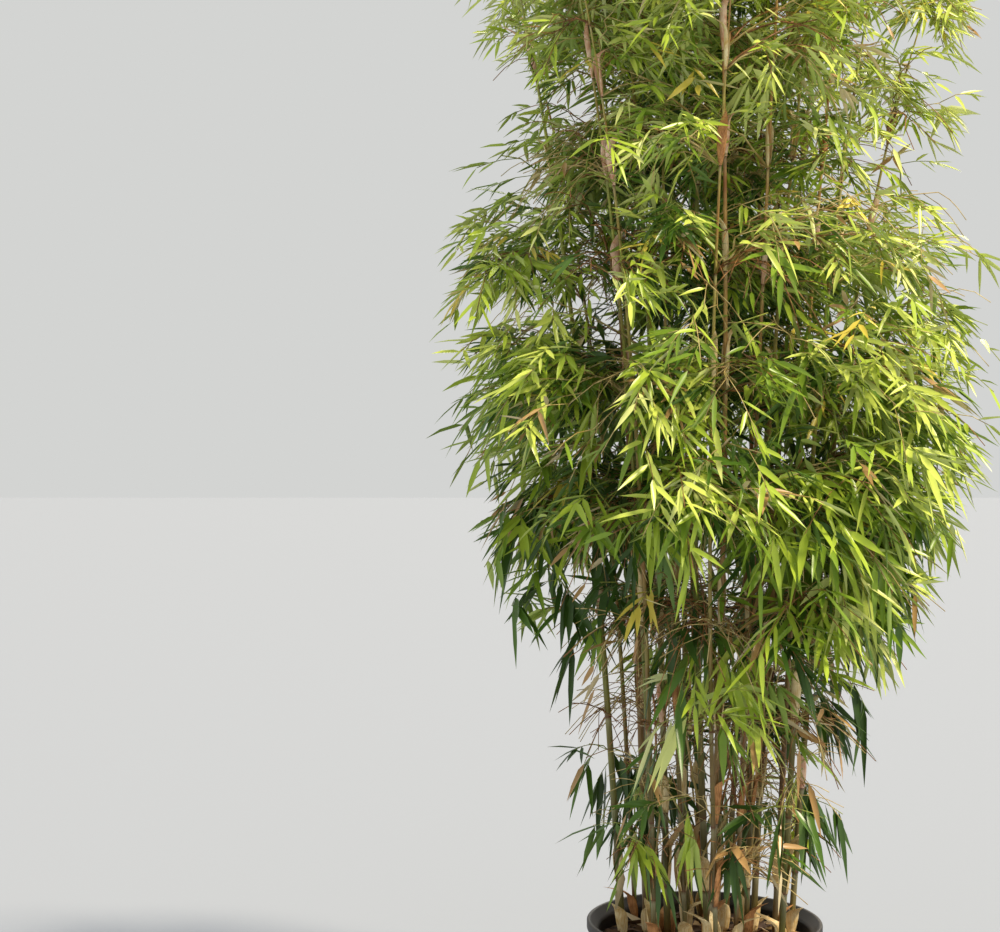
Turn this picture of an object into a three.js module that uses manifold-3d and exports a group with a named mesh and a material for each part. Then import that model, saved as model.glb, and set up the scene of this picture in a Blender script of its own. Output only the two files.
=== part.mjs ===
// A clumping bamboo in its black nursery pot: the pot, the potting mix, every culm and every mass of foliage.
// Millimetres, +Z up. The origin is the middle of the pot's flat underside, and -Y is the side facing the viewer.
import * as THREE from "three";
import { mergeVertices } from "three/addons/utils/BufferGeometryUtils.js";
import Module from "manifold-3d";

const wasm = await Module();
wasm.setup();

// Driving dimensions of the pot and its filling
const potHeight = 340;
const potFootRadius = 188;
const potRimRadius = 225;
const rimDepth = 15;
const rimReach = 19;
const rimRoll = 3;
const potWall = 4;
const potFloor = 5;
const potSides = 40;
const drainCount = 8;
const drainWidth = 26;
const drainHeight = 16;
const drainAboveFloor = 2;
const mixBelowRim = 34;
const gap = 0.35;

// Driving dimensions of the clump: heights are above the potting mix
const culmCount = 24;
const clumpRadius = 182;
const tallestCulm = 2440;
const outerCulmLoss = 380;
const heightScatter = 300;
const leanLeast = 0.045;
const leanScatter = 0.07;
const archShare = 0.045;
const nodShare = 0.035;
const swayMost = 34;
const culmRadiusLeast = 4.2;
const culmRadiusScatter = 2.8;
const culmTipRadius = 1.4;
const culmSides = 5;
const nodeSpacing = 176;
const nodeSwell = 1.16;
const nodeRidge = 9;
const ridgedShare = 0.36;

// Outline of the crown: how far it reaches from the middle of the pot, at heights above the ground
const crownHeights = [350, 520, 760, 1020, 1300, 1640, 2040, 2400, 2760];
const crownReaches = [215, 320, 350, 460, 590, 610, 540, 430, 230];
const crownShift = 0.055;

// Tiers of foliage from the low sprays to the top: the height of their middle, how many masses stand round the
// clump, how many fill its inside, and the bearing of the first one in degrees.
const tiers = [
  { height: 560, around: 4, inside: 0, first: 215 },
  { height: 860, around: 4, inside: 1, first: 262 },
  { height: 1170, around: 5, inside: 1, first: 228 },
  { height: 1490, around: 5, inside: 1, first: 264 },
  { height: 1805, around: 5, inside: 1, first: 230 },
  { height: 2120, around: 4, inside: 0, first: 252 },
  { height: 2440, around: 3, inside: 0, first: 205 },
];
const siteShare = 0.62;
const siteInside = 25;
const siteStagger = 60;
const siteScatter = 25;

// Driving dimensions of the stems and twigs: angles are in radians
const stemRadius = 3.4;
const stemTaper = 0.07;
const stemRise = 0.9;
const stemDrop = 80;
const stemPast = 30;
const stemLeast = 60;
const stemTurn = 0.22;
const stemTries = 7;
const twigRadius = 2.4;
const twigLength = 125;
const twigsPerMass = 4;
const twigFirst = 0.3;
const twigLast = 0.92;
const twigLiftMiddle = 0.1;
const twigLiftRange = 0.75;
const twigRise = 0.45;
const twigTries = 48;

// Driving dimensions of the leaves
const leavesPerStem = 4;
const leavesPerTwig = 3;
const leafLength = 215;
const leafWidth = 44;
const leafThickness = 3.4;
const leafWidestAt = 0.4;
const leafDroop = 0.14;
const leafPitchMost = 0.2;
const leafPitchRange = 1.3;
const leafTurnLeast = 0.7;
const leafTurnRange = 0.8;
const leafTurnScatter = 0.4;
const leafRoll = 0.9;
const leafSink = 11;
const leafStep = 19;
const leafTries = 40;

// Room that is kept free: to the next mass's space, and to the skins of the culms
const limbMargin = 5;
const leafMargin = 1.2;
const culmClearance = 5;
const limbSample = 10;
const leafSample = 14;

const goldenAngle = Math.PI * (3 - Math.sqrt(5));
const up = new THREE.Vector3(0, 0, 1);
const mixTop = potHeight - mixBelowRim;

const potPlastic = new THREE.MeshStandardMaterial({ color: 0x1d1d1f, roughness: 0.5, metalness: 0 });
const pottingMix = new THREE.MeshStandardMaterial({ color: 0x3b2a1d, roughness: 0.95, metalness: 0 });
const culmSkin = new THREE.MeshStandardMaterial({ color: 0x75803a, roughness: 0.45, metalness: 0 });
const foliage = new THREE.MeshStandardMaterial({ color: 0x6f9a2c, roughness: 0.5, metalness: 0 });

// A repeatable share from 0 to 1 for a seed and a channel.
function chance(seed, channel) {
  const wave = Math.sin(seed * 12.9898 + channel * 78.233) * 43758.5453;
  return wave - Math.floor(wave);
}

function scatter(seed, channel) {
  return 2 * chance(seed, channel) - 1;
}

// Closed three.js geometry to a manifold solid and back.
function solidOf(geometry) {
  const bare = geometry.index ? geometry.toNonIndexed() : geometry.clone();
  bare.deleteAttribute("normal");
  bare.deleteAttribute("uv");
  const merged = mergeVertices(bare, 1e-3);
  return new wasm.Manifold(
    new wasm.Mesh({
      numProp: 3,
      vertProperties: new Float32Array(merged.attributes.position.array),
      triVerts: new Uint32Array(merged.index.array),
    }),
  );
}

function geometryOf(solid) {
  const mesh = solid.getMesh();
  const geometry = new THREE.BufferGeometry();
  geometry.setAttribute("position", new THREE.BufferAttribute(mesh.vertProperties, 3));
  geometry.setIndex(new THREE.BufferAttribute(mesh.triVerts, 1));
  geometry.computeVertexNormals();
  return geometry;
}

// A closed tapering limb: a capped cylinder whose rings are moved to the points of a line.
function limb(points, radii, sides, levelFoot = false) {
  const last = points.length - 1;
  const shape = new THREE.CylinderGeometry(1, 1, last, sides, last);
  const position = shape.attributes.position;
  const side = new THREE.Vector3(1, 0, 0);
  if (points[1].clone().sub(points[0]).normalize().z < 0.9) side.copy(up);
  const frames = points.map((point, i) => {
    const ahead = points[Math.min(i + 1, last)];
    const behind = points[Math.max(i - 1, 0)];
    const along = levelFoot && i === 0 ? up.clone() : ahead.clone().sub(behind).normalize();
    side.addScaledVector(along, -side.dot(along)).normalize();
    return { side: side.clone(), front: side.clone().cross(along) };
  });
  for (let i = 0; i < position.count; i++) {
    const ring = Math.round(position.getY(i) + last / 2);
    const place = points[ring].clone();
    place.addScaledVector(frames[ring].side, radii[ring] * position.getX(i));
    place.addScaledVector(frames[ring].front, radii[ring] * position.getZ(i));
    position.setXYZ(i, place.x, place.y, place.z);
  }
  return shape;
}

// A profile of [radius, height] pairs turned about Z.
function turned(profile) {
  const points = profile.map(([radius, height]) => new THREE.Vector2(radius, height));
  return new THREE.LatheGeometry(points, potSides).rotateX(Math.PI / 2);
}

function potWallRadius(height) {
  const share = height / (potHeight - rimDepth);
  return potFootRadius + (potRimRadius - rimReach - potFootRadius) * share;
}

// A thin tapering wall whose mouth flares out into a rolled lip, with drain holes round its foot.
function makePot() {
  const lipFoot = potHeight - rimDepth;
  const throat = potWallRadius(lipFoot);
  let pot = solidOf(
    turned([
      [0, 0],
      [potFootRadius - rimRoll, 0],
      [potFootRadius, rimRoll],
      [throat, lipFoot],
      [potRimRadius - rimRoll, lipFoot - rimRoll],
      [potRimRadius, lipFoot],
      [potRimRadius, potHeight - rimRoll],
      [potRimRadius - rimRoll, potHeight],
      [potRimRadius - 2 * rimRoll, potHeight],
      [throat, lipFoot + rimRoll],
      [throat - potWall, lipFoot - rimRoll],
      [potFootRadius - potWall, potFloor],
      [0, potFloor],
    ]),
  );
  for (let i = 0; i < drainCount; i++) {
    const drain = new THREE.BoxGeometry(6 * potWall, drainWidth, drainHeight);
    drain.translate(potFootRadius, 0, potFloor + drainAboveFloor + drainHeight / 2);
    drain.rotateZ((2 * Math.PI * (i + 0.5)) / drainCount);
    pot = pot.subtract(solidOf(drain));
  }
  return geometryOf(pot);
}

function makeMix() {
  const inside = (height) => potWallRadius(height) - potWall - 2 * gap;
  return turned([
    [0, potFloor + gap],
    [inside(0), potFloor + gap],
    [inside(mixTop), mixTop],
    [0, mixTop],
  ]);
}

// One culm: where it stands, how tall it is, and how it leans, arches and sways.
function culmPlan(index) {
  const share = Math.sqrt((index + 0.5) / culmCount);
  const height = tallestCulm - outerCulmLoss * share ** 2 - heightScatter * chance(index, 1);
  return {
    index,
    angle: index * goldenAngle + 0.25 * scatter(index, 2),
    foot: clumpRadius * share,
    height,
    lean: share * (leanLeast + leanScatter * chance(index, 3)),
    arch: archShare * (0.4 + share) * (0.6 + 0.8 * chance(index, 4)),
    nod: nodShare * (0.5 + chance(index, 5)),
    sway: swayMost * scatter(index, 6),
    radius: culmRadiusLeast + culmRadiusScatter * chance(index, 7),
    nodes: Math.round(height / nodeSpacing),
  };
}

function culmPoint(culm, t) {
  const out = culm.foot + culm.height * (culm.lean * t + culm.arch * t ** 3);
  const side = culm.sway * Math.sin(Math.PI * t);
  return new THREE.Vector3(
    out * Math.cos(culm.angle) - side * Math.sin(culm.angle),
    out * Math.sin(culm.angle) + side * Math.cos(culm.angle),
    mixTop + gap + culm.height * (t - culm.nod * t ** 5),
  );
}

function culmRadius(culm, t) {
  return culmTipRadius + (culm.radius - culmTipRadius) * (1 - t ** 1.35);
}

// The share of the culm's length at a node: the joints stand closer at the foot and at the tip.
function nodeShare(culm, node) {
  const s = node / culm.nodes;
  return (s + s * s * (3 - 2 * s)) / 2;
}

// The culm swells at each node and, on its lower joints, is narrow again just above it.
function culmRings(culm) {
  const points = [culmPoint(culm, 0)];
  const radii = [culmRadius(culm, 0) * nodeSwell];
  for (let node = 1; node <= culm.nodes; node++) {
    const t = nodeShare(culm, node);
    const radius = culmRadius(culm, t);
    const ridge = t + nodeRidge / culm.height;
    points.push(culmPoint(culm, t));
    radii.push(radius * (node < culm.nodes ? nodeSwell : 1));
    if (t < ridgedShare) {
      points.push(culmPoint(culm, ridge));
      radii.push(culmRadius(culm, ridge));
    }
  }
  return { points, radii };
}

function makeCulm(culm, fatter = 0) {
  const radii = culm.radii.map((radius) => radius + fatter);
  return limb(culm.points, radii, culmSides, true);
}

// Straight lines between the pairs of two lists.
function between(places, values, place) {
  const last = places.length - 1;
  if (place <= places[0]) return values[0];
  if (place >= places[last]) return values[last];
  const i = places.findIndex((next) => next > place) - 1;
  return values[i] + ((values[i + 1] - values[i]) * (place - places[i])) / (places[i + 1] - places[i]);
}

// How far the crown reaches at a height on the side that a point lies on: further on the +X side.
function crownReach(point) {
  const out = Math.hypot(point.x, point.y);
  const lopsided = out > 0 ? 1 + (crownShift * point.x) / out : 1;
  return between(crownHeights, crownReaches, point.z) * lopsided;
}

// Where each mass of foliage has its middle.
function massPlans() {
  const plans = [];
  for (const tier of tiers) {
    for (let i = 0; i < tier.around + tier.inside; i++) {
      const seed = 100 + plans.length;
      const inner = i >= tier.around;
      const angle = THREE.MathUtils.degToRad(tier.first + (360 * i) / tier.around);
      const site = new THREE.Vector3(Math.cos(angle), Math.sin(angle), tier.height);
      site.z += siteStagger * (i % 2 ? 1 : -1) + siteScatter * scatter(seed, 1);
      const out = inner ? siteInside : crownReach(site) * siteShare;
      site.x *= out;
      site.y *= out;
      plans.push({ seed, site, outward: site.clone().setZ(0).normalize() });
    }
  }
  return plans;
}

// True where a point lies in the crown and is nearer to the mass's own middle than to any other by a margin.
function inSpace(mass, masses, point, margin) {
  if (Math.hypot(point.x, point.y) > crownReach(point)) return false;
  if (point.z > crownHeights.at(-1) || point.z < crownHeights[0]) return false;
  const own = point.distanceToSquared(mass.site);
  return masses.every((other) => {
    if (other === mass) return true;
    const apart = other.site.distanceTo(mass.site);
    return (point.distanceToSquared(other.site) - own) / (2 * apart) > margin;
  });
}

// True where a point keeps a distance from the skin of every culm at its own height.
function clearOfCulms(culms, point, distance, exempt = null) {
  return culms.every((culm) => {
    if (culm === exempt || point.z < culm.heights[0] || point.z > culm.heights.at(-1) + distance) return true;
    const x = between(culm.heights, culm.acrossX, point.z);
    const y = between(culm.heights, culm.acrossY, point.z);
    const radius = between(culm.heights, culm.radii, point.z);
    return Math.hypot(point.x - x, point.y - y) > 1.02 * radius + distance;
  });
}

// Points every few millimetres along a line of straight runs.
function samplesOf(line, step) {
  const samples = [];
  for (let i = 1; i < line.length; i++) {
    const count = Math.ceil(line[i].distanceTo(line[i - 1]) / step);
    for (let k = 0; k < count; k++) samples.push(line[i - 1].clone().lerp(line[i], k / count));
  }
  samples.push(line.at(-1));
  return samples;
}

// A line that leaves its start along a heading and arches over to its end.
function arching(start, heading, end, steps) {
  const knee = start.clone().addScaledVector(heading, 0.5 * start.distanceTo(end));
  return new THREE.QuadraticBezierCurve3(start, knee, end).getPoints(steps);
}

// Of the shapes that fit, the one whose spot keeps furthest from the spots already used.
function roomiest(candidates, used) {
  let best = null;
  for (const candidate of candidates) {
    const room = used.length ? Math.min(...used.map((spot) => spot.distanceTo(candidate.spot))) : 0;
    if (!best || room > best.room) best = { ...candidate, room };
  }
  return best;
}

// One leaf: a thin kite with a ridge, its root sunk in the twig and its tip drooping.
function leafPlan(root, along, roll, length) {
  const side = along.clone().cross(up).normalize().applyAxisAngle(along, roll);
  const face = side.clone().cross(along).normalize();
  const middle = root.clone().addScaledVector(along, leafWidestAt * length);
  const halfWidth = (leafWidth / 2) * (length / leafLength);
  const tip = root.clone().addScaledVector(along, length).addScaledVector(up, -leafDroop * length);
  const left = middle.clone().addScaledVector(side, halfWidth);
  const right = middle.clone().addScaledVector(side, -halfWidth);
  const ridge = middle.clone().addScaledVector(face, leafThickness);
  return { corners: [root, left, right, ridge, tip], spot: middle.clone().lerp(tip, 0.5) };
}

// Points along five lines that run over the leaf from its root to its tip.
function leafSamples(plan) {
  const [root, left, right, , tip] = plan.corners;
  const waists = [0, 0.25, 0.5, 0.75, 1].map((across) => left.clone().lerp(right, across));
  return waists.flatMap((waist) => samplesOf([root, waist, tip], leafSample));
}

function makeLeaf(plan) {
  const geometry = new THREE.BufferGeometry().setFromPoints(plan.corners);
  geometry.setIndex([0, 2, 1, 4, 1, 2, 0, 1, 3, 0, 3, 2, 4, 3, 1, 4, 2, 3]);
  return geometry;
}

// The stem of a mass: it leaves a culm node in the mass's space and arches out to the mass's middle.
function findStem(mass, masses, culms, taken) {
  const bearers = [];
  for (const culm of culms) {
    for (let node = 2; node < culm.nodes; node++) {
      const point = culmPoint(culm, nodeShare(culm, node));
      const key = culm.index + ":" + node;
      if (taken.has(key) || !inSpace(mass, masses, point, 2 * limbMargin)) continue;
      const distance = point.distanceTo(mass.site.clone().addScaledVector(up, -stemDrop));
      bearers.push({ culm, node, point, key, distance });
    }
  }
  bearers.sort((a, b) => a.distance - b.distance);
  for (const bearer of bearers) {
    for (let attempt = 0; attempt < stemTries; attempt++) {
      const turn = stemTurn * Math.ceil(attempt / 2) * (attempt % 2 ? 1 : -1);
      const toSite = mass.site.clone().sub(bearer.point).addScaledVector(mass.outward, stemPast);
      if (Math.hypot(toSite.x, toSite.y) < stemLeast) toSite.addScaledVector(mass.outward, stemLeast);
      toSite.applyAxisAngle(up, turn);
      const heading = toSite.clone().setZ(0).normalize().addScaledVector(up, stemRise).normalize();
      const line = arching(bearer.point, heading, bearer.point.clone().add(toSite), 3);
      const fits = samplesOf(line, limbSample).every(
        (point) =>
          inSpace(mass, masses, point, limbMargin) &&
          clearOfCulms(culms, point, stemRadius + culmClearance, bearer.culm),
      );
      if (fits) return { ...bearer, line };
    }
  }
  throw new Error("no stem fits the space of mass " + mass.seed);
}

// Twigs that arch out of the stem, each to the emptiest side that it can reach.
function planTwigs(mass, masses, culms, stem) {
  const twigs = [];
  const used = [stem.line.at(-1)];
  for (let n = 0; n < twigsPerMass; n++) {
    const share = twigFirst + ((twigLast - twigFirst) * n) / (twigsPerMass - 1);
    const place = share * (stem.line.length - 1);
    const i = Math.floor(place);
    const start = stem.line[i].clone().lerp(stem.line[i + 1], place - i);
    const candidates = [];
    for (let attempt = 0; attempt < twigTries; attempt++) {
      const seed = mass.seed * 17 + n * 131 + attempt * 7;
      const turn = Math.PI * scatter(seed, 1);
      const lift = twigLiftMiddle + twigLiftRange * scatter(seed, 2);
      const level = mass.outward.clone().applyAxisAngle(up, turn).multiplyScalar(Math.cos(lift));
      const aim = level.addScaledVector(up, Math.sin(lift));
      const end = start.clone().addScaledVector(aim, twigLength * (0.55 + 0.45 * chance(seed, 3)));
      const line = arching(start, aim.clone().addScaledVector(up, twigRise).normalize(), end, 2);
      const samples = samplesOf(line, limbSample);
      const fits =
        samples.every((point) => inSpace(mass, masses, point, limbMargin)) &&
        samples.every((point) => clearOfCulms(culms, point, twigRadius + culmClearance));
      if (fits) candidates.push({ line, spot: end });
    }
    const twig = roomiest(candidates, used);
    if (!twig) continue;
    used.push(twig.spot);
    twigs.push(twig);
  }
  return twigs;
}

// The point of a line at a distance back from its end.
function pointBack(line, distance) {
  for (let i = line.length - 1; i > 0; i--) {
    const run = line[i].distanceTo(line[i - 1]);
    if (distance <= run || i === 1) return line[i].clone().lerp(line[i - 1], Math.min(distance / run, 0.95));
    distance -= run;
  }
  return line[0].clone();
}

// Leaves that alternate along the end of each line, each turned to the emptiest side that it can reach.
// Those that find no room are left out.
function planLeaves(mass, masses, culms, lines) {
  const leaves = [];
  const used = [];
  lines.forEach((line, order) => {
    const along = line.at(-1).clone().sub(line.at(-2)).normalize();
    const count = order === 0 ? leavesPerStem : leavesPerTwig;
    for (let n = 0; n < count; n++) {
      const root = pointBack(line, leafSink + leafStep * n);
      const alternate = n === 0 ? 0 : n % 2 ? 1 : -1;
      const candidates = [];
      for (let attempt = 0; attempt < leafTries; attempt++) {
        const seed = mass.seed * 53 + order * 211 + n * 29 + attempt * 3;
        const pitch = leafPitchMost - leafPitchRange * chance(seed, 1);
        const spread = leafTurnLeast + leafTurnRange * chance(seed, 2);
        const turn = alternate * spread + leafTurnScatter * scatter(seed, 5);
        const level = along.clone().setZ(0).normalize().applyAxisAngle(up, turn);
        const aim = level.multiplyScalar(Math.cos(pitch)).addScaledVector(up, Math.sin(pitch));
        const length = leafLength * (1 - (0.4 * attempt) / leafTries) * (0.92 + 0.16 * chance(seed, 3));
        const plan = leafPlan(root, aim, leafRoll * scatter(seed, 4), length);
        const fits =
          plan.corners.every((point) => inSpace(mass, masses, point, leafMargin)) &&
          leafSamples(plan).every((point) => clearOfCulms(culms, point, culmClearance));
        if (fits) candidates.push(plan);
      }
      const leaf = roomiest(candidates, used);
      if (!leaf) continue;
      used.push(leaf.spot);
      leaves.push(leaf);
    }
  });
  return leaves;
}

// One mass of foliage: stem, twigs and leaves fused, and cut just clear of the culm that bears it.
function makeMass(mass, masses, culms, taken) {
  const stem = findStem(mass, masses, culms, taken);
  taken.add(stem.key);
  const thick = Math.min(stemRadius, 0.8 * culmRadius(stem.culm, nodeShare(stem.culm, stem.node)));
  const stemRadii = stem.line.map((_, i) => thick * (1 - stemTaper * i));
  const twigs = planTwigs(mass, masses, culms, stem);
  const leaves = planLeaves(mass, masses, culms, [stem.line, ...twigs.map((twig) => twig.line)]);
  const parts = [solidOf(limb(stem.line, stemRadii, 3))];
  for (const twig of twigs) {
    const radius = Math.min(twigRadius, 0.9 * thick);
    parts.push(solidOf(limb(twig.line, [0.5 * radius, radius, 0.9 * radius], 3)));
  }
  for (const leaf of leaves) parts.push(solidOf(makeLeaf(leaf)));
  const whole = parts.reduce((sum, part) => sum.add(part)).subtract(solidOf(makeCulm(stem.culm, gap)));
  const bodies = whole.decompose().sort((a, b) => b.volume() - a.volume());
  return geometryOf(bodies[0]);
}

const plant = new THREE.Group();

function addNode(name, geometry, material) {
  const mesh = new THREE.Mesh(geometry, material);
  mesh.name = name;
  plant.add(mesh);
}

const two = (number) => String(number).padStart(2, "0");

addNode("pot", makePot(), potPlastic);
addNode("potting_mix", makeMix(), pottingMix);

const culms = Array.from({ length: culmCount }, (_, index) => {
  const culm = culmPlan(index);
  Object.assign(culm, culmRings(culm));
  culm.heights = culm.points.map((point) => point.z);
  culm.acrossX = culm.points.map((point) => point.x);
  culm.acrossY = culm.points.map((point) => point.y);
  return culm;
});
culms.forEach((culm) => addNode("culm_" + two(culm.index + 1), makeCulm(culm), culmSkin));

const masses = massPlans();
const taken = new Set();
masses.forEach((mass, i) => addNode("foliage_" + two(i + 1), makeMass(mass, masses, culms, taken), foliage));

export default plant;
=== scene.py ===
import math

import bpy
import numpy as np
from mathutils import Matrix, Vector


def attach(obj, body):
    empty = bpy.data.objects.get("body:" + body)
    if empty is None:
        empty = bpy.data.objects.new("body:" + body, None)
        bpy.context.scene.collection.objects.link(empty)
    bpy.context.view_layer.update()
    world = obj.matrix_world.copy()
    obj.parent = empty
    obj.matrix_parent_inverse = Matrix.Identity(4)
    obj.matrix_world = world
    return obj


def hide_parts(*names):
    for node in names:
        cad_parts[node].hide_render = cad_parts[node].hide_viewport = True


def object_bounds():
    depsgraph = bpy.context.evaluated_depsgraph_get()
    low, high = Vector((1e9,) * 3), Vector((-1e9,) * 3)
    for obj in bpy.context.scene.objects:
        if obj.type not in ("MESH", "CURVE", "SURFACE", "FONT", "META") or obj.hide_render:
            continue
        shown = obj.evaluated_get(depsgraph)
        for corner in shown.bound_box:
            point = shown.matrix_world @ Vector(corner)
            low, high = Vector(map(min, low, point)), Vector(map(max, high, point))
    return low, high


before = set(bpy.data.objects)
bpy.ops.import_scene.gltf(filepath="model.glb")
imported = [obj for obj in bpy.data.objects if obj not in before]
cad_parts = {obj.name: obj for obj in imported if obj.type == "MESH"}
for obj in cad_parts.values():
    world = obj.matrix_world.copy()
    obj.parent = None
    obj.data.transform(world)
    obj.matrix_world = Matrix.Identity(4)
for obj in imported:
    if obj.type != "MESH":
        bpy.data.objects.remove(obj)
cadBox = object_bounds()
upward = np.array([0.0, 0.0, 1.0])
goldenAngle = math.pi * (3 - math.sqrt(5))
foliageNodes = sorted(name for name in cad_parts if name.startswith("foliage_"))
print("frame loaded:", len(foliageNodes), "masses of foliage")


# A repeatable share from 0 to 1 for a seed and a channel: what a large sine has beyond its whole part.
def chance(seed, channel):
    wave = np.sin(np.asarray(seed, float) * 12.9898 + channel * 78.233) * 43758.5453
    return wave - np.floor(wave)


# The same from -1 to 1.
def scatter(seed, channel):
    return 2 * chance(seed, channel) - 1


# A value from the least of a pair up by a share of its range.
def between(pair, seed, channel):
    return pair[0] + pair[1] * chance(seed, channel)


# A value by height: straight lines between the heights and the values of a curve.
def atHeight(points, curve):
    return np.interp(points[..., 2], *curve)


# Vectors divided by their own length.
def unit(vectors):
    return vectors / np.maximum(np.linalg.norm(vectors, axis=-1, keepdims=True), 1e-9)


# The level part of vectors, at unit length.
def levelled(vectors):
    return unit(vectors * [1, 1, 0])


# Vectors turned about an axis: what lies along the axis stays, what lies across it turns by the angle.
def turnedAbout(vectors, axis, angle):
    angle = np.asarray(angle, float)[..., None]
    kept = axis * (vectors * axis).sum(-1, keepdims=True)
    return vectors * np.cos(angle) + np.cross(axis, vectors) * np.sin(angle) + kept * (1 - np.cos(angle))


# Pot and filling, repeated from the source
pot = dict(
    height=0.340, footRadius=0.188, rimRadius=0.225, rimDepth=0.015, rimReach=0.019, roll=0.003, wall=0.004,
    floor=0.005, pad=0.09, drains=8, drainLow=0.007, drainHigh=0.023, mixBelowRim=0.034, gap=0.00035,
    columns=144,
)
mixTop = pot["height"] - pot["mixBelowRim"]

# The clump of culms, repeated from the source
clump = dict(
    culms=24, radius=0.182, tallest=2.440, outerLoss=0.380, heightScatter=0.300, leanLeast=0.045,
    leanScatter=0.070, arch=0.045, nod=0.035, sway=0.034, radiusLeast=0.0042, radiusScatter=0.0028,
    tipRadius=0.0014, nodeSpacing=0.176, swell=1.16, ridge=0.009, ridgedShare=0.36,
)
culmNumbers = np.arange(clump["culms"])
culmShare = np.sqrt((culmNumbers + 0.5) / clump["culms"])
culms = {
    "height": clump["tallest"] - clump["outerLoss"] * culmShare**2
    - clump["heightScatter"] * chance(culmNumbers, 1),
    "angle": culmNumbers * goldenAngle + 0.25 * scatter(culmNumbers, 2),
    "foot": clump["radius"] * culmShare,
    "lean": culmShare * (clump["leanLeast"] + clump["leanScatter"] * chance(culmNumbers, 3)),
    "arch": clump["arch"] * (0.4 + culmShare) * (0.6 + 0.8 * chance(culmNumbers, 4)),
    "nod": clump["nod"] * (0.5 + chance(culmNumbers, 5)),
    "sway": clump["sway"] * scatter(culmNumbers, 6),
    "radius": clump["radiusLeast"] + clump["radiusScatter"] * chance(culmNumbers, 7),
}
culms["nodes"] = np.round(culms["height"] / clump["nodeSpacing"]).astype(int)


# The axis of a culm: out by its foot, lean and arch, aside by half a sine of sway, and up less its nod.
def culmPoint(which, t):
    height, angle = culms["height"][which], culms["angle"][which]
    out = culms["foot"][which] + height * (culms["lean"][which] * t + culms["arch"][which] * t**3)
    aside = culms["sway"][which] * np.sin(np.pi * t)
    rise = mixTop + pot["gap"] + height * (t - culms["nod"][which] * t**5)
    x = out * np.cos(angle) - aside * np.sin(angle)
    return np.stack([x, out * np.sin(angle) + aside * np.cos(angle), rise], -1)


# A culm's radius narrows to its tip by a power of the share of its length.
def culmRadius(which, t):
    return clump["tipRadius"] + (culms["radius"][which] - clump["tipRadius"]) * (1 - t**1.35)


# The share of a culm's length at a node: half even steps, half a smooth step that bunches them at both ends.
def nodeShare(which, node):
    s = node / culms["nodes"][which]
    return (s + s * s * (3 - 2 * s)) / 2


# Heights, places and radii of the source's rings, which the room for twigs and leaves is measured from.
def culmAxis(which):
    nodes = np.arange(culms["nodes"][which] + 1)
    t = nodeShare(which, nodes)
    radii = culmRadius(which, t) * np.where(nodes < culms["nodes"][which], clump["swell"], 1)
    ridged = t[1:][t[1:] < clump["ridgedShare"]] + clump["ridge"] / culms["height"][which]
    t = np.concatenate([t, ridged])
    order = np.argsort(t)
    points = culmPoint(which, t[order])
    return points[:, 2], points[:, 0], points[:, 1], np.concatenate([radii, culmRadius(which, ridged)])[order]


culmAxes = [culmAxis(which) for which in culmNumbers]

# The crown's outline and the middles of its masses, repeated from the source
crown = {
    "heights": [0.350, 0.520, 0.760, 1.020, 1.300, 1.640, 2.040, 2.400, 2.760],
    "reaches": [0.215, 0.320, 0.350, 0.460, 0.590, 0.610, 0.540, 0.430, 0.230],
    "shift": 0.055,
    "tiers": [  # height, masses around, masses inside, bearing of the first in degrees
        (0.560, 4, 0, 215), (0.860, 4, 1, 262), (1.170, 5, 1, 228), (1.490, 5, 1, 264), (1.805, 5, 1, 230),
        (2.120, 4, 0, 252), (2.440, 3, 0, 205),
    ],
    "siteShare": 0.62,
    "siteInside": 0.025,
    "siteStagger": 0.060,
    "siteScatter": 0.025,
}


# How far the crown reaches at a height: lines between the outline's points, further on the +X side.
def crownReach(points):
    out = np.maximum(np.hypot(points[..., 0], points[..., 1]), 1e-9)
    reach = atHeight(points, (crown["heights"], crown["reaches"]))
    return reach * (1 + crown["shift"] * points[..., 0] / out)


# Where each mass has its middle: on rings inside the outline, every other one higher.
def massSites():
    sites = []
    for height, around, inside, first in crown["tiers"]:
        for i in range(around + inside):
            angle = math.radians(first + 360 * i / around)
            rise = crown["siteStagger"] * (1 if i % 2 else -1)
            rise += crown["siteScatter"] * scatter(100 + len(sites), 1)
            site = np.array([math.cos(angle), math.sin(angle), height + rise])
            site[:2] *= crown["siteInside"] if i >= around else crownReach(site) * crown["siteShare"]
            sites.append(site)
    return np.array(sites)


sites = massSites()
outwards = levelled(sites)


# True where a point lies in the crown and is nearer to its own mass's middle than to any other by a margin.
def inSpace(mass, points, margin):
    z = points[..., 2]
    inside = np.hypot(points[..., 0], points[..., 1]) <= crownReach(points)
    inside &= (z >= crown["heights"][0]) & (z <= crown["heights"][-1])
    own = ((points - sites[mass]) ** 2).sum(-1)
    for other in np.delete(sites, mass, 0):
        apart = np.linalg.norm(other - sites[mass])
        inside &= (((points - other) ** 2).sum(-1) - own) / (2 * apart) > margin
    return inside


# True where a point keeps a distance from the skin of every culm at its own height.
def clearOfCulms(points, distance, exempt=-1):
    x, y, z = points[..., 0], points[..., 1], points[..., 2]
    clear = np.ones(z.shape, bool)
    for which, (heights, acrossX, acrossY, radii) in enumerate(culmAxes):
        if which != exempt:
            apart = np.hypot(x - np.interp(z, heights, acrossX), y - np.interp(z, heights, acrossY))
            beside = (z >= heights[0]) & (z <= heights[-1] + distance)
            clear &= ~beside | (apart > 1.02 * np.interp(z, heights, radii) + distance)
    return clear


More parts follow.
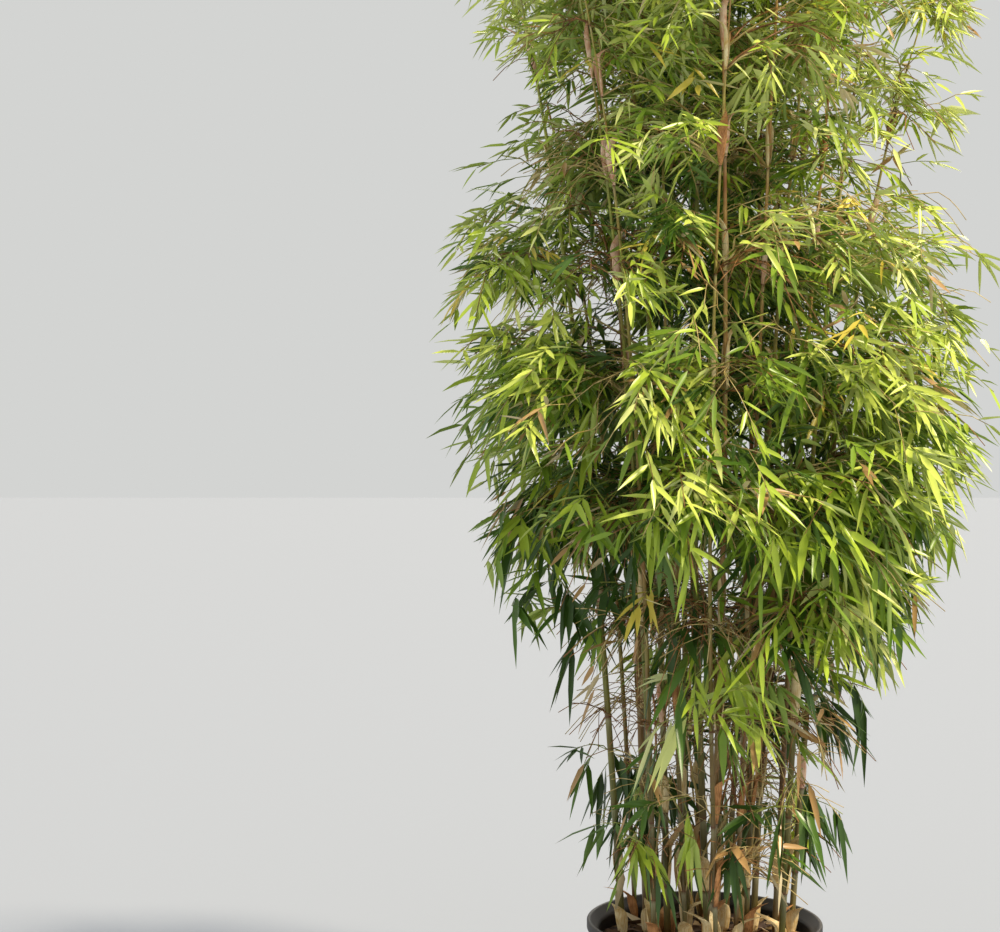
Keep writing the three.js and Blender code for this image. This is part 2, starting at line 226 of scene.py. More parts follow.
# Quadratic curves that leave their starts along a heading and arch over to their ends.
def arching(start, heading, end, steps):
    start, end = np.broadcast_arrays(start, end)
    knee = start + heading * 0.5 * np.linalg.norm(end - start, axis=-1, keepdims=True)
    start, knee, end = (corner[..., None, :] for corner in (start, knee, end))
    t = np.linspace(0, 1, steps + 1)[:, None]
    return (1 - t) ** 2 * start + 2 * t * (1 - t) * knee + t**2 * end


# Points every few millimetres along lines of straight runs: each run divided evenly by its own count.
def samplesOf(lines, step):
    runs = lines[..., 1:, :] - lines[..., :-1, :]
    counts = np.maximum(np.ceil(np.linalg.norm(runs, axis=-1) / step), 1)
    shares = np.minimum(np.arange(counts.max()) / counts[..., None], 1)
    points = lines[..., :-1, None, :] + runs[..., None, :] * shares[..., None]
    return np.concatenate([points.reshape(*lines.shape[:-2], -1, 3), lines[..., -1:, :]], -2)


# The number of the shape whose spot keeps furthest from the spots already used, or -1 where none fits.
def roomiest(spots, fits, used):
    if not fits.any():
        return -1
    rooms = np.zeros(len(spots))
    if used:
        rooms = np.linalg.norm(spots[:, None] - np.array(used), axis=-1).min(1)
    return int(np.argmax(np.where(fits, rooms, -1)))


# Stems, twigs and leaves of the source, in metres and radians, and the room that they keep
stemRule = dict(rise=0.9, drop=0.080, past=0.030, least=0.060, turn=0.22, tries=7, radius=0.0034)
twigRule = dict(
    radius=0.0024, length=0.125, perMass=4, first=0.3, last=0.92, liftMiddle=0.1, liftRange=0.75,
    rise=0.45, reach=(0.55, 0.45), tries=48,
)
bladeRule = dict(
    perStem=4, perTwig=3, length=0.215, width=0.044, widestAt=0.4, droop=0.14, pitchMost=0.2, pitchRange=1.3,
    turn=(0.7, 0.8), turnScatter=0.4, longer=(0.92, 0.16), shrink=0.4, roll=0.9, sink=0.011, step=0.019,
    tries=40,
)
room = dict(limb=0.005, leaf=0.0012, culm=0.005, limbStep=0.010, leafStep=0.014)


# True for lines that keep all along to their mass's space and clear of the culms.
def limbsFit(mass, lines, radius, exempt=-1):
    samples = samplesOf(lines, room["limbStep"])
    clear = clearOfCulms(samples, radius + room["culm"], exempt)
    return (inSpace(mass, samples, room["limb"]) & clear).all(1)


# The stem of a mass: from the nearest culm node that it can leave, arching out past the mass's middle.
def findStem(mass, taken):
    bearers = []
    for which in culmNumbers:
        nodes = np.arange(2, culms["nodes"][which])
        points = culmPoint(which, nodeShare(which, nodes))
        free = inSpace(mass, points, 2 * room["limb"])
        for node, point in zip(nodes[free], points[free]):
            if (which, node) not in taken:
                distance = np.linalg.norm(point - sites[mass] + upward * stemRule["drop"])
                bearers.append((distance, which, node, point))
    tries = np.arange(stemRule["tries"])
    turns = stemRule["turn"] * np.ceil(tries / 2) * np.where(tries % 2, 1, -1)
    for _, which, node, point in sorted(bearers, key=lambda bearer: bearer[0]):
        toSite = sites[mass] - point + outwards[mass] * stemRule["past"]
        if np.hypot(*toSite[:2]) < stemRule["least"]:
            toSite = toSite + outwards[mass] * stemRule["least"]
        reaches = turnedAbout(toSite, upward, turns)
        lines = arching(point, unit(levelled(reaches) + upward * stemRule["rise"]), point + reaches, 3)
        fits = limbsFit(mass, lines, stemRule["radius"], which)
        if fits.any():
            taken.add((which, node))
            thick = min(stemRule["radius"], 0.8 * culmRadius(which, nodeShare(which, node)))
            return lines[np.argmax(fits)], thick


# Twigs that arch out of the stem, each to the emptiest side that it can reach.
def findTwigs(mass, stem):
    twigs, used = [], [stem[-1]]
    for n in range(twigRule["perMass"]):
        share = twigRule["first"] + (twigRule["last"] - twigRule["first"]) * n / (twigRule["perMass"] - 1)
        place = share * (len(stem) - 1)
        i = int(place)
        start = stem[i] + (stem[i + 1] - stem[i]) * (place - i)
        seed = (100 + mass) * 17 + n * 131 + np.arange(twigRule["tries"]) * 7
        lift = (twigRule["liftMiddle"] + twigRule["liftRange"] * scatter(seed, 2))[:, None]
        level = turnedAbout(outwards[mass], upward, np.pi * scatter(seed, 1))
        aim = level * np.cos(lift) + upward * np.sin(lift)
        end = start + aim * twigRule["length"] * between(twigRule["reach"], seed, 3)[:, None]
        lines = arching(start, unit(aim + upward * twigRule["rise"]), end, 2)
        best = roomiest(end, limbsFit(mass, lines, twigRule["radius"]), used)
        if best >= 0:
            used.append(end[best])
            twigs.append(lines[best])
    return twigs


# The point of a line at a distance back from its end.
def pointBack(line, distance):
    for i in range(len(line) - 1, 0, -1):
        run = np.linalg.norm(line[i] - line[i - 1])
        if distance <= run or i == 1:
            return line[i] + (line[i - 1] - line[i]) * min(distance / run, 0.95)
        distance -= run


# The source's large leaves: root, heading and length. Each one marks the place of a spray of real leaves.
def findBlades(mass, lines):
    blades, used = [], []
    tries = np.arange(bladeRule["tries"])
    across = np.linspace(0, 1, 5)[:, None]
    for order, line in enumerate(lines):
        for n in range(bladeRule["perTwig"] if order else bladeRule["perStem"]):
            root = pointBack(line, bladeRule["sink"] + bladeRule["step"] * n)
            seed = (100 + mass) * 53 + order * 211 + n * 29 + tries * 3
            pitch = (bladeRule["pitchMost"] - bladeRule["pitchRange"] * chance(seed, 1))[:, None]
            turn = (n % 2 * 2 - 1) * min(n, 1) * between(bladeRule["turn"], seed, 2)
            turn += bladeRule["turnScatter"] * scatter(seed, 5)
            level = turnedAbout(levelled(line[-1] - line[-2]), upward, turn)
            aim = level * np.cos(pitch) + upward * np.sin(pitch)
            shorter = 1 - bladeRule["shrink"] * tries / len(tries)
            length = bladeRule["length"] * shorter * between(bladeRule["longer"], seed, 3)
            side = turnedAbout(unit(np.cross(aim, upward)), aim, bladeRule["roll"] * scatter(seed, 4))
            middle = root + aim * (bladeRule["widestAt"] * length)[:, None]
            half = side * (bladeRule["width"] / 2 * length / bladeRule["length"])[:, None]
            tip = root + (aim - upward * bladeRule["droop"]) * length[:, None]
            start = root + 0 * tip
            corners = np.stack([start, middle + half, middle - half, tip], 1)
            waists = (middle + half)[:, None] - 2 * half[:, None] * across
            paths = np.stack(np.broadcast_arrays(start[:, None], waists, tip[:, None]), 2)
            samples = samplesOf(paths, room["leafStep"]).reshape(len(tries), -1, 3)
            fits = inSpace(mass, corners, room["leaf"]).all(1) & clearOfCulms(samples, room["culm"]).all(1)
            best = roomiest((middle + tip) / 2, fits, used)
            if best >= 0:
                used.append((middle[best] + tip[best]) / 2)
                blades.append((root, aim[best], length[best]))
    return blades


stems, stemThick, massTwigs, blades, taken = [], [], [], [], set()
for mass in range(len(sites)):
    stem, thick = findStem(mass, taken)
    twigs = findTwigs(mass, stem)
    stems.append(stem)
    stemThick.append(thick)
    massTwigs.extend(twigs)
    blades.extend(findBlades(mass, [stem, *twigs]))
stems, massTwigs = np.array(stems), np.array(massTwigs)
print("rule repeated:", len(stems), "stems,", len(massTwigs), "twigs,", len(blades), "places for sprays")


# Faces between rings of points, each from its own column and ring to the next ones.
def ringFaces(ring, column, columns):
    here, following = ring * columns + column, ring * columns + (column + 1) % columns
    return np.stack([here, following, following + columns, here + columns], 1)


# Triangles from a middle point to each two neighbours of a ring that starts at a number.
def fan(middle, first, columns):
    around = np.arange(columns)
    return np.stack([around * 0 + middle, first + around, first + (around + 1) % columns], 1)


# A circle of points round Z for each radius and height of a profile.
def circles(profile, columns, offset=0.0):
    turn = 2 * np.pi * (np.arange(columns) + offset) / columns
    return profile[:, None, [0, 0, 1]] * np.stack([np.cos(turn), np.sin(turn), 0 * turn + 1], 1)


# The points of circles with a middle point for the first circle and one for the last, and the fans to them.
def capped(rows, low, high):
    count, columns = rows.shape[:2]
    points = np.concatenate([rows.reshape(-1, 3), [[0, 0, low], [0, 0, high]]])
    under = fan(count * columns, 0, columns)[:, [0, 2, 1]]
    return points, np.concatenate([under, fan(count * columns + 1, (count - 1) * columns, columns)])


# Closed tubes: a ring of sides round each point of each line, carried along with the least turning.
def tubes(lines, radii, sides):
    count, rings = lines.shape[:2]
    ahead = np.concatenate([lines[:, 1:], lines[:, -1:]], 1)
    along = unit(ahead - np.concatenate([lines[:, :1], lines[:, :-1]], 1))
    side = np.eye(3)[np.abs(along[:, 0]).argmin(-1)]
    turn = 2 * np.pi * np.arange(sides) / sides
    side = unit(side - along[:, 0] * (side * along[:, 0]).sum(-1, keepdims=True))
    points = np.empty((count, rings, sides, 3))
    for ring in range(rings):
        side = unit(side - along[:, ring] * (side * along[:, ring]).sum(-1, keepdims=True))
        front = np.cross(along[:, ring], side)
        circle = side[:, None] * np.cos(turn)[:, None] + front[:, None] * np.sin(turn)[:, None]
        points[:, ring] = lines[:, ring, None] + circle * radii[:, ring, None, None]
    wall = ringFaces(*np.indices((rings - 1, sides)).reshape(2, -1), sides)
    caps = np.stack([np.arange(sides)[::-1], (rings - 1) * sides + np.arange(sides)])
    first = np.arange(count)[:, None, None] * rings * sides
    return points.reshape(-1, 3), [(wall + first).reshape(-1, 4), (caps + first).reshape(-1, sides)]


# Closed sheets: a grid of points, the same grid set back along its normals, and a rim between.
def sheets(grid, normals, thickness):
    count, rows, columns = grid.shape[:3]
    points = np.stack([grid, grid - normals * thickness], 1).reshape(-1, 3)
    one = rows * columns
    place = np.arange(one).reshape(rows, columns)
    front = np.stack([place[:-1, :-1], place[:-1, 1:], place[1:, 1:], place[1:, :-1]], -1).reshape(-1, 4)
    edge = np.concatenate([place[0, :-1], place[:-1, -1], place[-1, :0:-1], place[:0:-1, 0]])
    following = np.roll(edge, -1)
    rim = np.stack([edge, edge + one, following + one, following], 1)
    faces = np.concatenate([front, front[:, ::-1] + one, rim])
    return points, (faces + np.arange(count)[:, None, None] * 2 * one).reshape(-1, 4)


# A mesh object from points and sets of faces, one set for each number of corners, riding on the one body.
def addPiece(name, points, faceSets, skins, slot, replaced=(), slots=None, values=None, sharp=None):
    corners = np.concatenate([faces.ravel() for faces in faceSets]).astype(np.int32)
    sizes = np.concatenate([np.full(len(faces), faces.shape[1]) for faces in faceSets])
    mesh = bpy.data.meshes.new(name)
    mesh.vertices.add(len(points))
    mesh.vertices.foreach_set("co", points.astype(np.float32).ravel())
    mesh.loops.add(len(corners))
    mesh.loops.foreach_set("vertex_index", corners)
    mesh.polygons.add(len(sizes))
    mesh.polygons.foreach_set("loop_start", (np.cumsum(sizes) - sizes).astype(np.int32))
    mesh.polygons.foreach_set("use_smooth", np.ones(len(sizes), bool))
    if slots is not None:
        mesh.polygons.foreach_set("material_index", slots.astype(np.int32))
    mesh.update(calc_edges=True)
    for key, numbers in (values or {}).items():
        mesh.attributes.new(key, "FLOAT", "POINT").data.foreach_set("value", numbers.astype(np.float32))
    if sharp is not None:
        ends = np.empty(2 * len(mesh.edges), np.int32)
        mesh.edges.foreach_get("vertices", ends)
        hard = sharp(ends.reshape(-1, 2))
        mesh.attributes.new("sharp_edge", "BOOLEAN", "EDGE").data.foreach_set("value", hard)
    for skin in skins:
        mesh.materials.append(skin)
    piece = bpy.data.objects.new(name, mesh)
    bpy.context.scene.collection.objects.link(piece)
    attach(piece, "root")
    if len(replaced):
        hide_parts(*replaced)
    print("piece", name, int((sizes - 2).sum()), "triangles")


# Several shapes made one: the corners of each count on from the points before it.
def joined(shapes):
    points, faceSets, count = [], {}, 0
    for some, sets in shapes:
        for faces in sets:
            faceSets.setdefault(faces.shape[1], []).append(faces + count)
        points.append(some)
        count += len(some)
    return np.concatenate(points), [np.concatenate(sets) for sets in faceSets.values()]


# sRGB hex to a linear colour: the curve below 0.04045 is straight, and above it a power of 2.4.
def linear(code):
    shares = np.array([int(code[i : i + 2], 16) for i in (1, 3, 5)]) / 255
    return (*np.where(shares <= 0.04045, shares / 12.92, ((shares + 0.055) / 1.055) ** 2.4), 1.0)


# Adds a node and gives the socket it is used for: options are its own settings, inputs are values to set or
# sockets to link, by name or in order, stops fill a ramp, and a hex code stands for its linear colour.
def addNode(tree, kind, inputs=(), give=0, stops=(), **options):
    node = tree.nodes.new("ShaderNode" + kind)
    for key, value in options.items():
        setattr(node, key, value)
    for key, value in inputs.items() if isinstance(inputs, dict) else enumerate(inputs):
        if isinstance(value, bpy.types.NodeSocket):
            tree.links.new(value, node.inputs[key])
        else:
            node.inputs[key].default_value = linear(value) if isinstance(value, str) else value
    for _ in stops[2:]:
        node.color_ramp.elements.new(0.5)
    for element, (place, code) in zip(node.color_ramp.elements if stops else (), stops):
        element.position = place
        element.color = linear(code)
    return node.outputs[give] if node.outputs else None


# An empty material and its tree.
def newMaterial(name):
    material = bpy.data.materials.new(name)
    material.use_nodes = True
    material.node_tree.nodes.clear()
    return material, material.node_tree


# Ends a material with one shader on these sockets.
def shaded(material, sockets):
    shader = addNode(material.node_tree, "BsdfPrincipled", sockets)
    addNode(material.node_tree, "OutputMaterial", {"Surface": shader})
    return material


# Noise in the object's own coordinates, drawn out along Z where upright is below 1.
def grain(tree, scale, detail, upright=1.0):
    place = addNode(tree, "TexCoord", give="Object")
    drawn = addNode(tree, "Mapping", {"Vector": place, "Scale": (1.0, 1.0, upright)})
    return addNode(tree, "TexNoise", {"Vector": drawn, "Scale": scale, "Detail": detail})


# The height in the object's own coordinates.
def heightIn(tree):
    return addNode(tree, "SeparateXYZ", [addNode(tree, "TexCoord", give="Object")], "Z")


# Living leaf: a thin waxed skin, so it shines softly and looks the same shade all along.
def leafSkin(name, colour, roughness):
    return shaded(newMaterial(name)[0], {"Base Color": colour, "Roughness": roughness, "IOR": 1.45})


# Leaves are dealt out by spray in these tints: the upper side, and the duller underside. The greens from
# shade to lime paint light and shade: shade and deep are painted shade, lime is painted sunlight, and pale is
# a painted glint of sun on the leaves. Yellow and dry are the leaves' own colour
leafTints = {
    "pale": ("#dde58a", "#dde4a4"),
    "lime": ("#cddc64", "#d3df86"),
    "fresh": ("#abc340", "#b4c766"),
    "mid": ("#7d9c30", "#90a852"),
    "deep": ("#527526", "#688740"),
    "shade": ("#3a5721", "#4f6b31"),
    "yellow": ("#e2cf58", "#e4d9a0"),
    "dry": ("#b9945f", "#d9c89e"),
}
leafGloss = {"leaf": 0.31, "underside": 0.58, "dead": 0.75}

# Real leaves: sizes in metres and hang in radians by height. Broad-leaved sprays have longer, hanging leaves.
leafRule = dict(
    length=([0.5, 1.0, 1.3, 1.6, 2.0, 2.6], [0.084, 0.080, 0.063, 0.056, 0.051, 0.048]),
    width=([0.5, 1.0, 1.3, 1.6, 2.0, 2.6], [0.0118, 0.0112, 0.0094, 0.0084, 0.0077, 0.0073]),
    hang=([0.5, 1.0, 1.3, 1.7, 2.3], [0.60, 0.36, 0.15, 0.10, 0.05]),
    broadAt=([0.5, 1.0, 1.25, 1.45, 1.9], [0.60, 0.42, 0.28, 0.14, 0.06]), broader=1.30, scale=(0.85, 0.3),
    longer=(0.72, 0.5), wider=(0.8, 0.35), droop=(0.04, 0.28), turn=(0.2, 1.1), endTurn=0.2, broadHang=0.9,
    hangRange=1.1, pitchScatter=0.55, roll=(0.3, 0.8), twistScatter=0.6, perSpray=8, present=0.88,
    bareLength=0.7, bareLeaves=0.05, bareSprays=0.07, past=0.01, lowest=0.36, clear=0.004,
    stations=[0.22, 0.62], widths=[0.94, 0.80], fold=0.32, thickness=0.0007,
)
leafCorners = 2 + 4 * len(leafRule["stations"])
leafTriangles = 8 * len(leafRule["stations"])


# One leaf's faces over its points: root, tip, and at each station its left, right, upper and under middle.
def leafFaces():
    stations = range(len(leafRule["stations"]))
    left, right, upper, under = ([2 + 4 * i + k for i in stations] for k in range(4))
    top = [(0, left[0], upper[0]), (0, upper[0], right[0])]
    top += [(left[-1], 1, upper[-1]), (upper[-1], 1, right[-1])]
    for i in stations[:-1]:
        top += [(left[i], left[i + 1], upper[i + 1]), (left[i], upper[i + 1], upper[i])]
        top += [(upper[i], upper[i + 1], right[i + 1]), (upper[i], right[i + 1], right[i])]
    below = [tuple(under[upper.index(v)] if v in upper else v for v in face[::-1]) for face in top]
    return np.array(top + below)


# Leaf blades: along the heading, sinking with the square of the share, and folded along the rib.
def leafShapes(root, aim, length, width, roll, droop, twist):
    stations = np.array([0, *leafRule["stations"], 1])
    s = stations[None, :, None]
    axis = root[:, None] + aim[:, None] * (length[:, None, None] * s)
    axis = axis - upward * (length * droop)[:, None, None] * s**2
    along = unit(aim[:, None] - upward * 2 * droop[:, None, None] * s)
    side = turnedAbout(unit(np.cross(along, upward)), along, roll[:, None] + twist[:, None] * stations)
    face = np.cross(side, along)
    half = width[:, None, None] / 2 * np.array([0, *leafRule["widths"], 0])[None, :, None]
    middle = axis - face * half * leafRule["fold"]
    across = [axis + side * half, axis - side * half, middle, middle - face * leafRule["thickness"]]
    inner = np.stack(across, 2)[:, 1:-1].reshape(len(root), -1, 3)
    points = np.concatenate([axis[:, :1], axis[:, -1:], inner], 1)
    faces = leafFaces() + np.arange(len(root))[:, None, None] * leafCorners
    return points.reshape(-1, 3), faces.reshape(-1, 3)


# Edges between two points of the outline, or two of the rib, stay crisp.
def leafCreases(ends):
    place = ends % leafCorners
    rim = (place < 2) | ((place - 2) % 4 < 2)
    return rim[:, 0] == rim[:, 1]


twigShares = np.array([0.0, 0.4, 0.7, 1.0])


# Points and headings of twigs at a share of their length: straight on less a sag with its square.
def onTwig(start, heading, length, sag, share):
    sunk = sag * np.interp(share, twigShares, twigShares**2)
    point = start + (heading * share[:, None] - upward * sunk[:, None]) * length[:, None]
    return point, unit(heading - upward * (2 * sag * share)[:, None])


# Headings turned from level ones by a turn about Z and lifted by a pitch.
def aimed(along, turn, pitch):
    level = turnedAbout(levelled(along + 1e-6), upward, turn)
    return level * np.cos(pitch)[:, None] + upward * np.sin(pitch)[:, None]


# The angle of headings above level.
def liftOf(along):
    return np.arcsin(np.clip(along[:, 2], -1, 1))


# Leaves of sprays: they alternate along the outer part of a twig, spread to its sides and hang.
def sprayLeaves(start, heading, length, sag, seed):
    leaves = []
    last = leafRule["perSpray"] - 1
    broad = chance(seed, 21) < atHeight(start, leafRule["broadAt"])
    scale = np.where(broad, leafRule["broader"], 1) * between(leafRule["scale"], seed, 22)
    hanging = np.where(broad, leafRule["broadHang"], 0.0) + leafRule["hangRange"] * chance(seed, 18)
    handed = np.where(chance(seed, 19) > 0.5, 1, -1)
    for n in range(last + 1):
        share = 0.40 + 0.60 * (n / last) ** 0.8 - (0 if n == last else 0.06) * chance(seed, 20 + n)
        point, along = onTwig(start, heading, length, sag, share + 0 * length)
        sunk = atHeight(point, leafRule["hang"]) * hanging
        pitch = 0.5 * liftOf(along) - sunk + leafRule["pitchScatter"] * scatter(seed, 30 + n)
        side = (1 if n % 2 else -1) * handed
        turn = side * (leafRule["endTurn"] if n == last else 1) * between(leafRule["turn"], seed, 40 + n)
        leaf = {
            "root": point,
            "aim": aimed(along, turn, pitch),
            "length": atHeight(point, leafRule["length"]) * scale * between(leafRule["longer"], seed, 50 + n),
            "width": atHeight(point, leafRule["width"]) * scale * between(leafRule["wider"], seed, 60 + n),
            "roll": leafRule["roll"][0] * side + leafRule["roll"][1] * scatter(seed, 70 + n),
            "droop": between(leafRule["droop"], seed, 80 + n),
            "twist": leafRule["twistScatter"] * scatter(seed, 90 + n),
            "spray": np.arange(len(start)),
            "draw": 0 * length if n == last else chance(seed, 100 + n),
        }
        leaves.append(leaf)
    return {key: np.concatenate([leaf[key] for leaf in leaves]) for key in leaf}


# A slow field from -1 to 1 that groups things and leaves gaps: waves about 25 cm from crest to trough.
def drift(points, shift):
    x, y, z = points[..., 0], points[..., 1], points[..., 2]
    wide = np.sin(13 * x + 8 * y + 5 * z + shift) * np.sin(11 * y - 7 * x + 9 * z + 2 * shift)
    return 0.65 * wide + 0.35 * np.sin(23 * x - 19 * y + 14 * z + 3 * shift)


# Branches that leave the culms' nodes besides the masses' stems, by height: more where the crown is thick.
# The lowest ones are bare, upright or tangled, and the crown hangs lower on the +X side.
branchRule = dict(
    perNode=8,
    leafyAt=([0.72, 0.92, 1.10, 1.28, 1.50, 1.75, 2.5], [0.00, 0.07, 0.34, 0.80, 0.76, 0.46, 0.32]),
    bareAt=([0.36, 0.62, 0.75, 0.90, 1.10, 1.30, 2.6], [0.11, 0.11, 0.22, 0.32, 0.28, 0.17, 0.12]),
    bareReach=([0.8, 1.5], [0.50, 0.95]), rightward=0.95,
    length=([0.6, 0.75, 1.1, 1.4, 1.65, 2.0, 2.5], [0.62, 0.22, 0.34, 0.42, 0.36, 0.24, 0.16]),
    lift=([0.6, 0.75, 1.2, 2.0], [1.35, 0.80, 0.62, 0.90]), sag=([0.6, 0.8], [0.12, 1.0]),
    aside=([1.35, 1.75], [0.90, 1.85]), asideRange=([1.35, 1.75], [1.50, 0.90]),
    radius=([0.6, 0.75], [0.0023, 0.0018]), twigs=8,
    twigLength=([1.1, 1.4, 1.9, 2.5], [0.100, 0.086, 0.074, 0.060]), liftShare=(0.7, 0.4),
    lengthShare=(0.45, 0.75), sagShare=(0.15, 0.65), thick=(0.8, 0.5), twigTurn=(0.5, 0.8), twigEndTurn=0.15,
    twigPitch=0.6, twigShare=(0.6, 0.8), twigSag=(0.15, 0.5), points=7, kink=0.006, top=0.93, topShare=0.16,
    topMargin=0.05, topLength=0.6, rightwardBelow=1.5, rightwardFade=0.4, cluster=(0.82, 0.85),
    reach=(0.87, 0.10), inset=0.06, shorten=0.84, shortenings=9,
)


# Points along branches: out along the heading and over by a sag, with a small kink at each joint.
def branchLines(start, heading, length, sag, seed):
    shares = np.linspace(0, 1, branchRule["points"])
    side = unit(np.cross(heading, upward))
    kink = branchRule["kink"] * np.where(np.arange(branchRule["points"]) % 2, 1, -1)
    kink = kink * np.minimum(shares * 6, 1)
    along = heading[:, None] - upward * (sag[:, None] * shares)[..., None]
    line = start[:, None] + along * (length[:, None] * shares)[..., None]
    return line + side[:, None] * (kink * (0.6 + 0.6 * chance(seed, 8))[:, None])[..., None]


# Where the branches stand: each node has a few at most, to either side by turns, and kept inside the crown.
def planBranches():
    which = np.repeat(culmNumbers, culms["nodes"] + 1)
    node = np.concatenate([np.arange(n + 1) for n in culms["nodes"]])
    turn = np.tile(np.arange(branchRule["perNode"]), len(which))
    which, node = (np.repeat(a, branchRule["perNode"]) for a in (which, node))
    seed = which * 977 + node * 61 + turn * 7 + 5
    t = nodeShare(which, node)
    start = culmPoint(which, t)
    below = np.clip((branchRule["rightwardBelow"] - start[:, 2]) / branchRule["rightwardFade"], 0, 1)
    low = start[:, 2] + branchRule["rightward"] * start[:, 0] * below
    sideways = np.where(node % 2, 1, -1) * atHeight(start, branchRule["aside"])
    sideways += atHeight(start, branchRule["asideRange"]) * scatter(seed, 2)
    lift = atHeight(start, branchRule["lift"]) * between(branchRule["liftShare"], seed, 3)
    heading = aimed(start, sideways, lift)
    length = atHeight(start, branchRule["length"]) * between(branchRule["lengthShare"], seed, 4)
    sag = atHeight(start, branchRule["sag"]) * between(branchRule["sagShare"], seed, 5)
    least, more = branchRule["cluster"]
    cluster = least + more * drift(start + heading * 0.2, 0.6)
    leafy = chance(seed, 1) < np.interp(low, *branchRule["leafyAt"]) * cluster
    leafy |= (t > branchRule["top"]) & (chance(seed, 11) < branchRule["topShare"])
    bare = ~leafy & (chance(seed, 1) > 1 - np.interp(low, *branchRule["bareAt"]))
    keep = (leafy | bare) & (start[:, 2] > branchRule["bareAt"][0][0])
    which, seed, t, start, heading, length, sag, bare = (
        a[keep] for a in (which, seed, t, start, heading, length, sag, bare)
    )
    top = t > branchRule["top"]
    length = np.where(top, length * branchRule["topLength"], length)
    least, more = branchRule["reach"]
    for _ in range(branchRule["shortenings"]):
        end = start + (heading - upward * sag[:, None]) * length[:, None]
        reach = crownReach(end) * (least + more * drift(end, 1.7)) - branchRule["inset"]
        reach *= np.where(bare, atHeight(end, branchRule["bareReach"]), 1)
        reach += np.where(top, branchRule["topMargin"], 0)
        outside = np.hypot(end[:, 0], end[:, 1]) > reach
        length = np.where(outside, length * branchRule["shorten"], length)
    start = start + heading * (culmRadius(which, t) * 0.5)[:, None]
    return {"lines": branchLines(start, heading, length, sag, seed), "seed": seed, "bare": bare, "top": top}


branches = planBranches()


# Twigs of the branches: they alternate along the outer part of each, and one carries on from its end.
def branchTwigs(lines, seed):
    twigs = []
    last = branchRule["twigs"] - 1
    for n in range(branchRule["twigs"]):
        place = (0.35 + 0.65 * n / last) * (lines.shape[1] - 1)
        i = min(int(place), lines.shape[1] - 2)
        start = lines[:, i] + (lines[:, i + 1] - lines[:, i]) * (place - i)
        along = unit(lines[:, i + 1] - lines[:, i])
        side = (1 if n % 2 else -1) * np.where(chance(seed, 9) > 0.5, 1, -1)
        spread = branchRule["twigEndTurn"] if n == last else 1
        turn = side * spread * between(branchRule["twigTurn"], seed, 10 + n)
        pitch = 0.5 * liftOf(along) + branchRule["twigPitch"] * scatter(seed, 110 + n)
        length = atHeight(start, branchRule["twigLength"]) * between(branchRule["twigShare"], seed, 120 + n)
        sag = between(branchRule["twigSag"], seed, 130 + n)
        twigs.append((start, aimed(along, turn, pitch), length, sag, seed * 13 + n * 101))
    return [np.concatenate(parts) for parts in zip(*twigs)]


# Sprays of the masses come first, on twigs shorter than the source's large leaves, and then those of the
# branches: start, heading, length, sag and seed
massSpray = dict(length=0.42, sag=0.22)
bladeRoot, bladeAim, bladeLength = (np.array(part) for part in zip(*blades))
count = len(blades)
ofMasses = [bladeRoot, bladeAim, bladeLength * massSpray["length"]]
ofMasses += [np.full(count, massSpray["sag"]), np.arange(count) * 37 + 11]
ofBranches = branchTwigs(branches["lines"], branches["seed"])
sprays = [np.concatenate(parts) for parts in zip(ofMasses, ofBranches)]


# What holds for a branch, for each spray: nothing for the masses' own, then the same for all its twigs.
def perSpray(ofBranch):
    return np.concatenate([np.zeros(count, ofBranch.dtype), np.tile(ofBranch, branchRule["twigs"])])


bare, top = perSpray(branches["bare"]), perSpray(branches["top"])
leaves = sprayLeaves(*sprays)
leaves["length"] *= np.where(bare[leaves["spray"]], leafRule["bareLength"], 1)

# Lines of sight kept open to the outer culms: widths in metres and the shares of sprays and leaves taken out
clearing = dict(outer=0.62, sideways=0.35, above=(1.12, 0.40), spray=(0.036, 0.85), leaf=(0.017, 0.88))


# True for points of the upper crown that hang outside an outer culm, within a distance to either side.
def hideCulms(points, distance):
    hiding = np.zeros(len(points), bool)
    for which in culmNumbers[culmShare > clearing["outer"]]:
        heights, acrossX, acrossY, _ = culmAxes[which]
        x, y = np.interp(points[:, 2], heights, acrossX), np.interp(points[:, 2], heights, acrossY)
        aheadX, aheadY = unit(np.stack([clearing["sideways"] * x, y], -1)).T
        fromX, fromY = points[:, 0] - x, points[:, 1] - y
        ahead = fromX * aheadX + fromY * aheadY > 0
        ahead &= (points[:, 2] > between(clearing["above"], which, 25)) & (points[:, 2] < heights[-1])
        hiding |= ahead & (np.abs(fromX * aheadY - fromY * aheadX) < distance)
    return hiding


sprayTips = onTwig(*sprays[:4], 1 + 0 * sprays[2])[0]
cleared = hideCulms(sprayTips, clearing["spray"][0]) & (chance(sprays[4], 7) < clearing["spray"][1])

# Leaves that would leave the crown or touch a culm are left out, and nearly all those of the bare branches
onBare = bare[leaves["spray"]]
leafTip = leaves["root"] + (leaves["aim"] - upward * leaves["droop"][:, None]) * leaves["length"][:, None]
keep = np.hypot(leafTip[:, 0], leafTip[:, 1]) < crownReach(leafTip) + leafRule["past"]
keep |= top[leaves["spray"]]
keep &= (leafTip > np.array(cadBox[0])).all(1) & (leafTip < np.array(cadBox[1])).all(1)
keep &= leafTip[:, 2] > leafRule["lowest"]
keep &= leaves["draw"] < np.where(onBare, leafRule["bareLeaves"], leafRule["present"])
keep &= (~onBare | (chance(leaves["spray"], 6) < leafRule["bareSprays"])) & ~cleared[leaves["spray"]]
hiding = hideCulms((leaves["root"] + leafTip) / 2, clearing["leaf"][0])
keep &= ~hiding | (chance(np.arange(len(keep)), 9) > clearing["leaf"][1])
for share in (0.15, 0.4, 0.7, 1.0):
    sunk = leaves["aim"] - upward * (share * leaves["droop"])[:, None]
    keep &= clearOfCulms(leaves["root"] + sunk * (share * leaves["length"])[:, None], leafRule["clear"])
leaves = {key: values[keep] for key, values in leaves.items()}
